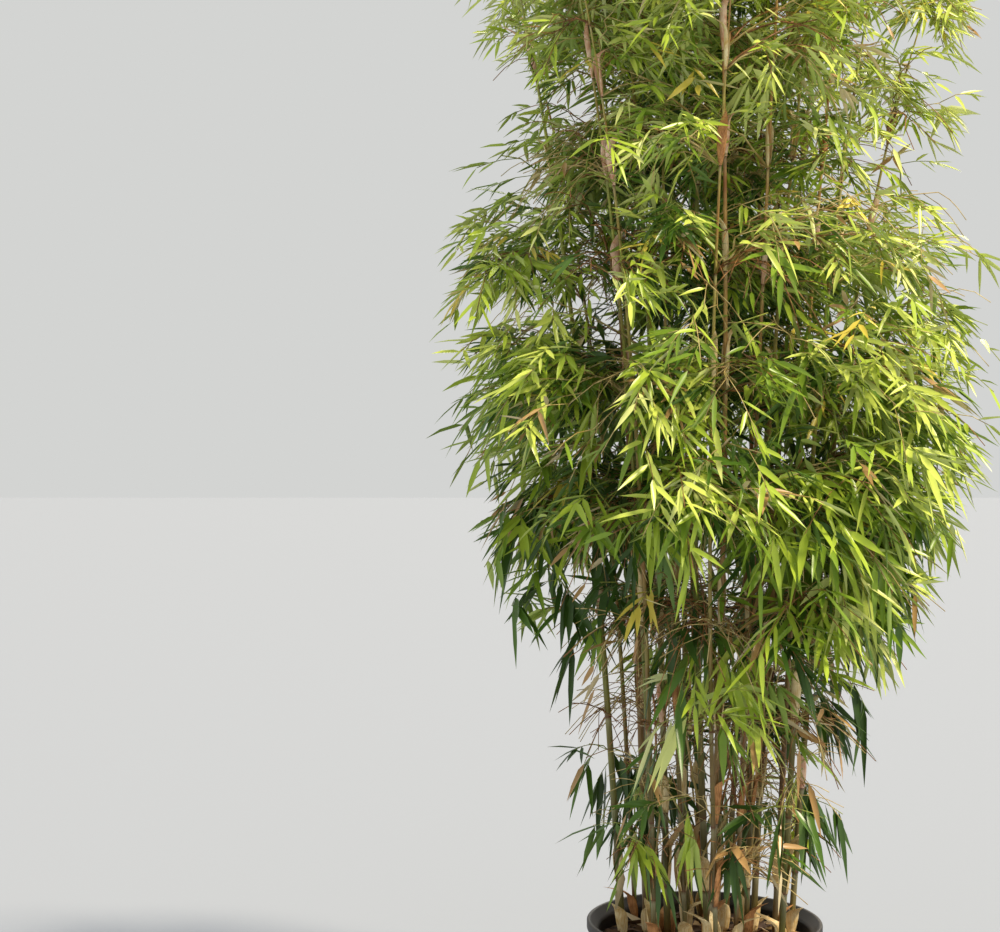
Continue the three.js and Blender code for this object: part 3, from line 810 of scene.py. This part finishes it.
print("leaves:", len(leaves["root"]), "of", len(keep), "in", len(sprays[0]), "sprays")

# Painted light and shade of the sprays: how their brightness rises with height, outside, to the sun's +X side
# and low in front, the limits between the tints, and the shares of pale glints, yellow and dry leaves
tintRule = dict(
    paintedLightByHeight=([0.5, 0.8, 1.05, 1.25, 1.6, 2.0, 2.5], [-0.14, -0.15, -0.01, 0.22, 0.36, 0.56, 0.74]),
    names=np.array(["shade", "deep", "mid", "fresh", "lime"]), limits=[0.20, 0.38, 0.58, 0.85], pale=0.20,
    yellow=0.028, dry=0.025, outside=0.75, paintedSunSide=0.14, halfWidth=0.5, base=0.15, spread=(0.38, 0.16),
    field=0.12, lowBelow=1.15, lowFade=0.3, front=0.38, frontDepth=0.15,
)


# The tint of each spray, as painted light and shade: brighter towards the top, the outside, the sun and low
# in front, darker as painted shade inside, with a share of chance and of the slow field.
def sprayTints():
    start, heading, length, _, seed = sprays
    middle = start + heading * length[:, None]
    out = np.hypot(middle[:, 0], middle[:, 1]) / crownReach(middle)
    paintedSunSide = tintRule["paintedSunSide"] * middle[:, 0] / tintRule["halfWidth"]
    # light is how brightly the spray is painted: painted light and shade, not a lamp
    light = tintRule["outside"] * out + atHeight(middle, tintRule["paintedLightByHeight"]) + paintedSunSide - tintRule["base"]
    low = np.clip((tintRule["lowBelow"] - middle[:, 2]) / tintRule["lowFade"], 0, 1)
    spread, lowSpread = tintRule["spread"]
    light += (spread + lowSpread * low) * scatter(seed, 3) + tintRule["field"] * drift(middle, 0.9)
    # Low sprays in front of the clump are painted lit.
    light += low * tintRule["front"] * np.clip(-middle[:, 1] / tintRule["frontDepth"], 0, 1)
    tint = tintRule["names"][np.digitize(light, tintRule["limits"])]
    # A share of the lime sprays turns pale: painted glints of sun on the leaves.
    tint = np.where((tint == "lime") & (chance(seed, 12) < tintRule["pale"]), "pale", tint)
    tint = np.where(chance(seed, 4) < tintRule["yellow"], "yellow", tint)
    return np.where((chance(seed, 5) < tintRule["dry"]) | bare, "dry", tint)


tints = sprayTints()[leaves["spray"]]
for tint, (upper, under) in leafTints.items():
    chosen = tints == tint
    points, faces = leafShapes(**{key: leaves[key][chosen] for key in leaves if key not in ("spray", "draw")})
    slots = np.tile(np.repeat([0, 1], leafTriangles // 2), int(chosen.sum()))
    skins = [leafSkin("bamboo leaf, " + tint, upper, leafGloss["leaf"])]
    skins.append(leafSkin("bamboo leaf underside, " + tint, under, leafGloss["underside"]))
    addPiece("leaves_" + tint, points, [faces], skins, "foliage", foliageNodes, slots, sharp=leafCreases)


# Bamboo skin of branches: glossy when young, streaked along its length.
def branchSkin(name, dark, light):
    material, tree = newMaterial(name)
    streaks = grain(tree, 60.0, 2.0, 0.25)
    colour = addNode(tree, "ValToRGB", [streaks], stops=[(0.35, dark), (0.65, light)])
    return shaded(material, {"Base Color": colour, "Roughness": 0.45, "IOR": 1.5})


# Branch tubes taper evenly from their foot to their end.
def tapered(lines, foot, end, sides):
    shares = np.linspace(0, 1, lines.shape[1])
    return tubes(lines, foot[:, None] * (1 - shares) + end * shares, sides)


# Branches of each kind, with the twigs that carry the leaves. Those of the masses count as green.
branchKinds = {
    "green": ("young bamboo branch", "#7d8f34", "#b3b856"),
    "straw": ("ripe bamboo branch", "#a98f4c", "#dcc88c"),
    "brown": ("dry bamboo branch", "#6d4826", "#b07c48"),
}
limbRadii = dict(branchEnd=0.0008, twig=0.0009, stem=0.62, stemEnd=0.0016, massTwig=0.0016, massEnd=0.0011)
lines, seed = branches["lines"], branches["seed"]
branchKind = np.digitize(chance(seed, 15), [0.30, 0.78])
branchKind = np.where(branches["bare"], np.where(chance(seed, 14) < 0.5, 1, 2), branchKind)
footRadii = atHeight(lines[:, 0], branchRule["radius"]) * between(branchRule["thick"], seed, 16)
twigKind = perSpray(branchKind)
twigLines = np.stack([onTwig(*sprays[:4], share + 0 * sprays[2])[0] for share in twigShares], 1)
drawn = bare | np.isin(np.arange(len(bare)), leaves["spray"])
for kind, (name, (title, dark, light)) in enumerate(branchKinds.items()):
    own, twigs = branchKind == kind, twigLines[drawn & (twigKind == kind)]
    shapes = [tapered(lines[own], footRadii[own], limbRadii["branchEnd"], 4)]
    shapes.append(tubes(twigs, np.full(twigs.shape[:2], limbRadii["twig"]), 3))
    if name == "green":
        shapes.append(tapered(stems, np.array(stemThick) * limbRadii["stem"], limbRadii["stemEnd"], 5))
        massTwigFeet = np.full(len(massTwigs), limbRadii["massTwig"])
        shapes.append(tapered(massTwigs, massTwigFeet, limbRadii["massEnd"], 4))
    addPiece("branches_" + name, *joined(shapes), [branchSkin(title, dark, light)], "culm_skin", foliageNodes)


# Rings of a culm: at each node the same small profile, and a ring or two between.
nodeProfile = np.array(
    [  # from the node, radius, bloom, scar
        (-0.045, 1.00, 0.00, 0.0),
        (-0.020, 1.00, 0.25, 0.0),
        (-0.007, 1.02, 0.70, 0.1),
        (-0.002, 1.05, 0.60, 0.6),
        (-0.0006, 1.17, 0.20, 1.0),
        (0.0009, 1.16, 0.10, 1.0),
        (0.0025, 1.05, 0.10, 0.7),
        (0.006, 1.13, 0.00, 0.3),
        (0.012, 1.04, 0.00, 0.1),
        (0.024, 1.00, 0.00, 0.0),
    ]
)
culmSides = 12


# One culm as a tube whose rings follow the node profile, with bloom and scar as values of its points.
def culmShape(which):
    nodes = nodeShare(which, np.arange(1, culms["nodes"][which]))
    middles = (nodes[1:] + nodes[:-1]) / 2
    t = (nodes[:, None] + nodeProfile[:, 0] / culms["height"][which]).ravel()
    t = np.concatenate([[0, 0.02], t, middles, [(nodes[-1] + 1) / 2, 1]])
    order = np.argsort(t)
    t = t[order]
    ends = ([1.16, 1.0], 1.0), ([0, 0], 0.0), ([1, 0], 0.0)  # at the foot, and between the nodes
    rings = [
        [*foot, *np.tile(nodeProfile[:, k], len(nodes)), *[rest] * (len(middles) + 2)]
        for k, (foot, rest) in enumerate(ends, 1)
    ]
    swell, bloom, scar = np.array(rings)[:, order]
    points, faces = tubes(culmPoint(which, t)[None], (culmRadius(which, t) * swell)[None], culmSides)
    return points, faces, np.repeat(bloom, culmSides), np.repeat(scar, culmSides)


# Living bamboo culm: a smooth waxed skin with fine streaks along it, browner with age and darker towards
# its foot, with white bloom below each node and a brown scar round it. The streaks are drawn about
# 1.5 mm wide, coarser than life, so that they show.
def culmSkin(name, dark, light, aged):
    material, tree = newMaterial(name)
    streaks = grain(tree, 420.0, 3.0, 0.06)
    bloom = addNode(tree, "Attribute", give="Fac", attribute_name="bloom")
    layers = [
        (addNode(tree, "MapRange", (grain(tree, 9.0, 3.0), 0.48, 0.66, 0.0, 0.85)), aged),
        (addNode(tree, "MapRange", (heightIn(tree), 0.5, 1.25, 0.82, 0.0)), "#4a4124"),
        (addNode(tree, "Math", (bloom, streaks), operation="MULTIPLY"), "#c6c9a2"),
        (addNode(tree, "Attribute", give="Fac", attribute_name="scar"), "#6a4526"),
    ]
    colour = addNode(tree, "ValToRGB", [streaks], stops=[(0.3, dark), (0.7, light)])
    for share, over in layers:
        colour = addNode(tree, "Mix", {0: share, 6: colour, 7: over}, 2, data_type="RGBA")
    bump = addNode(tree, "Bump", {"Height": streaks, "Strength": 0.25, "Distance": 0.0004})
    return shaded(material, {"Base Color": colour, "Roughness": 0.38, "IOR": 1.5, "Normal": bump})


culmGroups = {  # dark streaks, light streaks, aged
    "green": ("#7f8a30", "#c0c45c", "#a0883f"),
    "olive": ("#8f8238", "#cdbb66", "#ad7a42"),
    "tan": ("#ac7d40", "#e0b870", "#985a30"),
}
culmAge = np.digitize(chance(culmNumbers, 75), [0.42, 0.72])
for group, (name, colours) in enumerate(culmGroups.items()):
    own = culmNumbers[culmAge == group]
    shapes = [culmShape(which) for which in own]
    values = {key: np.concatenate([shape[k] for shape in shapes]) for k, key in ((2, "bloom"), (3, "scar"))}
    skin = culmSkin("bamboo culm, " + name, *colours)
    replaced = ["culm_%02d" % (which + 1) for which in own]
    points, faceSets = joined([shape[:2] for shape in shapes])
    addPiece("culms_" + name, points, faceSets, [skin], "culm_skin", replaced, values=values)


# Culm sheaths: papery, clasping the culm above a node. Their curves go by the share of the culm's length.
sheathRule = dict(
    chanceAt=([0.0, 0.1, 0.16, 0.3, 0.55, 1.0], [1.0, 0.75, 0.25, 0.40, 0.82, 0.88]),
    length=([0.0, 0.05, 0.3, 0.55, 1.0], [0.075, 0.085, 0.120, 0.110, 0.095]),
    loose=([0.0, 0.08, 0.3, 0.55, 1.0], [0.0056, 0.0036, 0.0024, 0.0036, 0.0042]), lengthShare=(0.75, 0.5),
    looseShare=(0.5, 1.2), arc=(1.9, 0.9), flare=(0.012, 0.05), bladeFrom=0.66, bladeSpan=0.34, rows=11,
    columns=9, thickness=0.0006, skinShare=1.05, gap=0.0008, leastArc=0.03,
)


# A sheath's surface: across it an arc about the culm, along it the culm's own axis, its radius growing looser
# and its arc narrowing to a point, and its blade bending away with the square of what lies past two thirds.
def sheathShapes(which, t, seed):
    v = np.linspace(0, 1, sheathRule["rows"])[None, :, None]
    u = np.linspace(-1, 1, sheathRule["columns"])[None, None, :]
    length = np.interp(t, *sheathRule["length"]) * between(sheathRule["lengthShare"], seed, 2)
    loose = (np.interp(t, *sheathRule["loose"]) * between(sheathRule["looseShare"], seed, 3))[:, None, None]
    share = np.minimum(t[:, None] + length[:, None] * v[0, :, 0] / culms["height"][which][:, None], 1)
    skin = culmRadius(which[:, None], share)[..., None]
    radius = skin * sheathRule["skinShare"] + sheathRule["gap"]
    radius = radius + loose * np.sin(np.pi * np.minimum(v, 0.8) / 1.3)
    arc = between(sheathRule["arc"], seed, 4)[:, None, None] * (1 - v**4) ** 0.8 * (1 - 0.35 * v)
    arc += sheathRule["leastArc"]
    middle = (2 * np.pi * chance(seed, 5))[:, None, None]
    angle = middle + u * arc
    normal = np.stack([np.cos(angle), np.sin(angle), 0 * angle], -1)
    away = np.stack([np.cos(middle), np.sin(middle), 0 * middle], -1)
    flare = between(sheathRule["flare"], seed, 6)[:, None, None, None]
    bend = np.clip(v - sheathRule["bladeFrom"], 0, None)[..., None] / sheathRule["bladeSpan"]
    axis = culmPoint(which[:, None], share)[:, :, None]
    return sheets(axis + normal * radius[..., None] + away * flare * bend**2, normal, sheathRule["thickness"])


# Dry culm sheath: a papery husk, matt and creased along its length, straw to pink-brown.
def sheathSkin(name, dark, light):
    material, tree = newMaterial(name)
    fibres = grain(tree, 700.0, 3.0, 0.05)
    blotched = addNode(tree, "Math", (fibres, grain(tree, 45.0, 4.0)), operation="MULTIPLY")
    colour = addNode(tree, "ValToRGB", [blotched], stops=[(0.14, dark), (0.34, light)])
    bump = addNode(tree, "Bump", {"Height": fibres, "Strength": 0.5, "Distance": 0.0005})
    return shaded(material, {"Base Color": colour, "Roughness": 0.72, "IOR": 1.48, "Normal": bump})


# Which nodes still have their sheath: nearly all at the foot, few in the middle, more towards the top.
def planSheaths():
    which = np.repeat(culmNumbers, culms["nodes"] - 1)
    node = np.concatenate([np.arange(n - 1) for n in culms["nodes"]])
    t = nodeShare(which, node)
    seed = which * 311 + node * 17 + 3
    keep = chance(seed, 1) < np.interp(t, *sheathRule["chanceAt"])
    return which[keep], t[keep], seed[keep]


sheathColours = {
    "straw": ("#dab46a", "#ffedbe"),
    "rose": ("#d89872", "#ffdfc4"),
    "brown": ("#9a6436", "#dea268"),
}
which, share, seed = planSheaths()
sheathTone = np.digitize(chance(seed, 7), [0.5, 0.82])
sheathTone = np.where((share < 0.12) & (sheathTone == 1), 0, sheathTone)  # no rose at the foot
for tone, (name, colours) in enumerate(sheathColours.items()):
    own = sheathTone == tone
    points, faces = sheathShapes(which[own], share[own], seed[own])
    skin = sheathSkin("dry culm sheath, " + name, *colours)
    addPiece("sheaths_" + name, points, [faces], [skin], "culm_skin")


# The pot's outer wall: its radius grows evenly with height.
def wallRadius(height):
    slope = (pot["rimRadius"] - pot["rimReach"] - pot["footRadius"]) / (pot["height"] - pot["rimDepth"])
    return pot["footRadius"] + slope * height


# Half a pot's profile as radius and height, from its underside round by the lip to its floor.
def potProfile():
    lipFoot = pot["height"] - pot["rimDepth"]
    throat = pot["rimRadius"] - pot["rimReach"]
    roll, rim, top = pot["roll"], pot["rimRadius"], pot["height"]
    sine, cosine = np.sin(np.linspace(0, np.pi / 2, 5)), np.cos(np.linspace(0, np.pi / 2, 5))
    foot = np.stack([pot["footRadius"] - roll + roll * sine, roll - roll * cosine], 1)
    lipLow = np.stack([rim - roll + roll * sine, lipFoot - roll * cosine], 1)
    lipTop = np.stack([rim - roll + roll * cosine, top - roll + roll * sine], 1)
    heights = np.array([pot["drainLow"], pot["drainHigh"], *np.linspace(0.05, lipFoot - 0.006, 8)])
    outer = np.stack([wallRadius(heights), heights], 1)
    flare = [(wallRadius(lipFoot - 0.002), lipFoot - 0.002), (throat + 0.004, lipFoot + 0.0005)]
    inner = [(rim - 2 * roll, top), (rim - 2.6 * roll, top - 0.0015), (throat + 0.004, lipFoot + 0.004)]
    inner += [(throat, lipFoot + 0.001), (throat - pot["wall"], lipFoot - 0.004)]
    within = outer[::-1] - [pot["wall"], 0]
    floor = [(pot["footRadius"] - pot["wall"], pot["floor"]), (pot["pad"], pot["floor"])]
    return np.concatenate([[(pot["pad"], 0)], foot, outer, flare, lipLow, lipTop, inner, within, floor])


# The pot: its profile turned about Z, with a hole through both walls at each drain.
def potShape():
    profile = potProfile()
    columns = pot["columns"]
    points, ends = capped(circles(profile, columns, 0.5), 0, pot["floor"])
    row, column = np.indices((len(profile) - 1, columns))
    outerRow = np.flatnonzero(np.isclose(profile[:, 1], pot["drainLow"]))[0]
    innerRow = np.flatnonzero(np.isclose(profile[:, 1], pot["drainHigh"]))[1]
    perDrain = columns // pot["drains"]
    inDrain = np.isin(np.arange(columns) % perDrain, perDrain // 2 - np.array([2, 1, 0]))
    drained = inDrain[column] & ((row == outerRow) | (row == innerRow))
    wall = ringFaces(row[~drained], column[~drained], columns)
    first = np.flatnonzero(inDrain & ~np.roll(inDrain, 1))
    c = np.flatnonzero(inDrain)
    after, end = (c + 1) % columns, (first + 3) % columns
    o, i = outerRow * columns, innerRow * columns  # outer foot row of the hole, inner top row of the hole
    sill = np.stack([o + c, o + after, i + columns + after, i + columns + c], 1)
    head = np.stack([o + columns + after, o + columns + c, i + c, i + after], 1)
    sideA = np.stack([o + columns + first, o + first, i + columns + first, i + first], 1)
    sideB = np.stack([o + end, o + columns + end, i + end, i + columns + end], 1)
    return points, [np.concatenate([wall, sill, head, sideA, sideB]), ends]


# Black nursery pot: blow-moulded polyethylene, satin, greyed by dust on the lip and splashes at the foot.
def potSkin():
    material, tree = newMaterial("black polyethylene, dusty")
    facing = addNode(tree, "SeparateXYZ", [addNode(tree, "NewGeometry", give="Normal")], "Z")
    splash = addNode(tree, "MapRange", (heightIn(tree), 0.0, 0.12, 0.4, 0.0))
    onTop = addNode(tree, "MapRange", (facing, 0.2, 1.0, 0.0, 0.16))
    clouds = addNode(tree, "MapRange", (grain(tree, 9.0, 6.0), 0.42, 0.80, 0.0, 0.18))
    streaks = addNode(tree, "Math", (splash, grain(tree, 60.0, 4.0, 0.12)), operation="MULTIPLY")
    still = addNode(tree, "Math", (clouds, onTop), operation="ADD")
    dust = addNode(tree, "Math", (still, streaks), operation="ADD")
    colour = addNode(tree, "Mix", {0: dust, 6: "#0e0d0e", 7: "#7d7263"}, 2, data_type="RGBA")
    rough = addNode(tree, "MapRange", (dust, 0.0, 0.6, 0.46, 0.75))
    bump = addNode(tree, "Bump", {"Height": grain(tree, 330.0, 3.0), "Strength": 0.3, "Distance": 0.0004})
    return shaded(material, {"Base Color": colour, "Roughness": rough, "IOR": 1.5, "Normal": bump})


addPiece("nursery_pot", *potShape(), [potSkin()], "pot_plastic", ["pot"])


# Lumps of the mix: a sum of slow and quick waves over its surface, in metres.
def lumps(x, y):
    slow = np.sin(31 * x + 1.3) * np.cos(27 * y + 0.4) * 0.006
    quick = np.sin(140 * x + 90 * y) * np.cos(120 * y - 60 * x) * 0.0022
    return slow + quick + 0.0014 * np.sin(310 * x - 170 * y + 2) * np.cos(290 * y + 210 * x)


mixRule = dict(rings=46, columns=144, gap=0.0007, middle=0.004, sunk=0.007, calm=0.02)


# The potting mix: a lumpy disc, calm at its rim, on a plug that fills the pot to a thin gap.
def mixShape():
    rings, columns = mixRule["rings"], mixRule["columns"]
    rim, foot = (wallRadius(height) - pot["wall"] - mixRule["gap"] for height in (mixTop, pot["floor"]))
    bottom, top = pot["floor"] + pot["gap"], mixTop - mixRule["sunk"]
    radii = np.linspace(rim, mixRule["middle"], rings)
    rows = circles(np.array([(foot, bottom), *((radius, top) for radius in radii)]), columns)
    calm = np.clip((rim - radii) / mixRule["calm"], 0, 1)[:, None]
    rows[1:, :, 2] += lumps(rows[1:, :, 0], rows[1:, :, 1]) * calm
    points, ends = capped(rows, bottom, top + lumps(0, 0))
    return points, [ringFaces(*np.indices((rings, columns)).reshape(2, -1), columns), ends]


# Potting mix: composted bark and peat, matt, from near black to tan chips about 6 mm across.
def mixSkin():
    material, tree = newMaterial("composted bark mix")
    place = addNode(tree, "TexCoord", give="Object")
    chips = addNode(tree, "TexVoronoi", {"Vector": place, "Scale": 160.0}, "Color", feature="F1")
    toned = addNode(tree, "SeparateColor", [chips], "Red")
    barks = [(0.0, "#1f150e"), (0.45, "#3a2718"), (0.75, "#6b4a2c"), (1.0, "#a8834f")]
    bark = addNode(tree, "ValToRGB", [toned], stops=barks)
    colour = addNode(tree, "Mix", {0: grain(tree, 500.0, 4.0), 6: "#1a120c", 7: bark}, 2, data_type="RGBA")
    depth = chips.node.outputs["Distance"]
    bump = addNode(tree, "Bump", {"Height": depth, "Strength": 0.9, "Distance": 0.003})
    return shaded(material, {"Base Color": colour, "Roughness": 0.92, "IOR": 1.4, "Normal": bump})


addPiece("bark_mix", *mixShape(), [mixSkin()], "potting_mix", ["potting_mix"])

# Litter: dead leaves that lie on the mix, tilted a little and curled
litterRule = dict(
    leaves=330, reach=0.192, edge=0.197, shares=[0.62, 0.85], sunk=0.005, lift=0.0015, pile=0.006,
    length=(0.05, 0.07), width=(0.010, 0.008), tilt=0.22, roll=0.5, droop=0.1, twist=1.2,
)
litterTints = {"brown": "#5b412a", "straw": "#b8955f", "bleached": "#d8c29a"}
seed = np.arange(litterRule["leaves"]) * 7 + 2
out = litterRule["reach"] * np.sqrt(chance(seed, 1))
turn, spin = 2 * np.pi * chance(seed, 2), 2 * np.pi * chance(seed, 3)
x, y = out * np.cos(turn), out * np.sin(turn)
z = mixTop - litterRule["sunk"] + lumps(x, y) + litterRule["lift"] + litterRule["pile"] * chance(seed, 4)
middle = np.stack([x, y, z], 1)
tilt = litterRule["tilt"] * scatter(seed, 5)
aim = np.stack([np.cos(spin) * np.cos(tilt), np.sin(spin) * np.cos(tilt), np.sin(tilt)], 1)
length = between(litterRule["length"], seed, 6)
half = aim * (length / 2)[:, None]
farthest = np.maximum(*(np.hypot(end[:, 0], end[:, 1]) for end in (middle - half, middle + half)))
inside = farthest < litterRule["edge"]
shape = [middle - half, aim, length, between(litterRule["width"], seed, 7)]
shape += [litterRule[key] * scatter(seed, k) for k, key in enumerate(("roll", "droop", "twist"), 8)]
points, faces = leafShapes(*(values[inside] for values in shape))
slots = np.repeat(np.digitize(chance(seed[inside], 11), litterRule["shares"]), leafTriangles)
skins = [leafSkin("dead leaf, " + name, colour, leafGloss["dead"]) for name, colour in litterTints.items()]
addPiece("leaf_litter", points, [faces], skins, "potting_mix", slots=slots, sharp=leafCreases)
print("pot filled")


# Studio: a plain pale floor, soft light and the photograph's camera
studio = {
    "floorHalf": 40.0,
    "floorColour": "#9ba2ae",
    "worldColour": "#e9eae8",
    "worldStrength": 0.8,
    "suns": [  # name, towards it, spread in degrees, strength, colour
        ("key", (0.55, -0.35, 1.0), 9, 4.2, "#ffeed2"),
        ("back", (0.25, 0.9, 0.8), 25, 0.9, "#fff8ea"),
    ],
    "eye": (-0.392, -3.45, 1.25),
    "pitchDown": 0.64,
    "lens": 64.8,
}


# Puts a thing in the scene as an object of its own.
def addObject(name, thing):
    made = bpy.data.objects.new(name, thing)
    bpy.context.scene.collection.objects.link(made)
    return made


half = studio["floorHalf"]
floorMesh = bpy.data.meshes.new("floor")
corners = [(-half, -half, 0), (half, -half, 0), (half, half, 0), (-half, half, 0)]
floorMesh.from_pydata(corners, [], [(0, 1, 2, 3)])
floorPaint = {"Base Color": studio["floorColour"], "Roughness": 0.85}
floorMesh.materials.append(shaded(newMaterial("pale studio floor")[0], floorPaint))
floor = addObject("floor", floorMesh)

world = bpy.data.worlds.new("soft daylight")
world.use_nodes = True
background = world.node_tree.nodes["Background"]
background.inputs["Color"].default_value = linear(studio["worldColour"])
background.inputs["Strength"].default_value = studio["worldStrength"]
bpy.context.scene.world = world

# Broad even lights: each one's own +Z faces its source
for name, source, spread, strength, colour in studio["suns"]:
    light = bpy.data.lights.new(name, "SUN")
    light.angle = math.radians(spread)
    light.energy = strength
    light.color = linear(colour)[:3]
    lamp = addObject(name, light)
    lamp.rotation_euler = Vector(source).to_track_quat("Z", "Y").to_euler()

camera = bpy.data.cameras.new("camera")
camera.lens = studio["lens"]
camera.sensor_width = 36
eye = addObject("camera", camera)
eye.location = studio["eye"]
eye.rotation_euler = (math.radians(90 - studio["pitchDown"]), 0, 0)
bpy.context.scene.camera = eye
bpy.context.scene.view_settings.view_transform = "Standard"
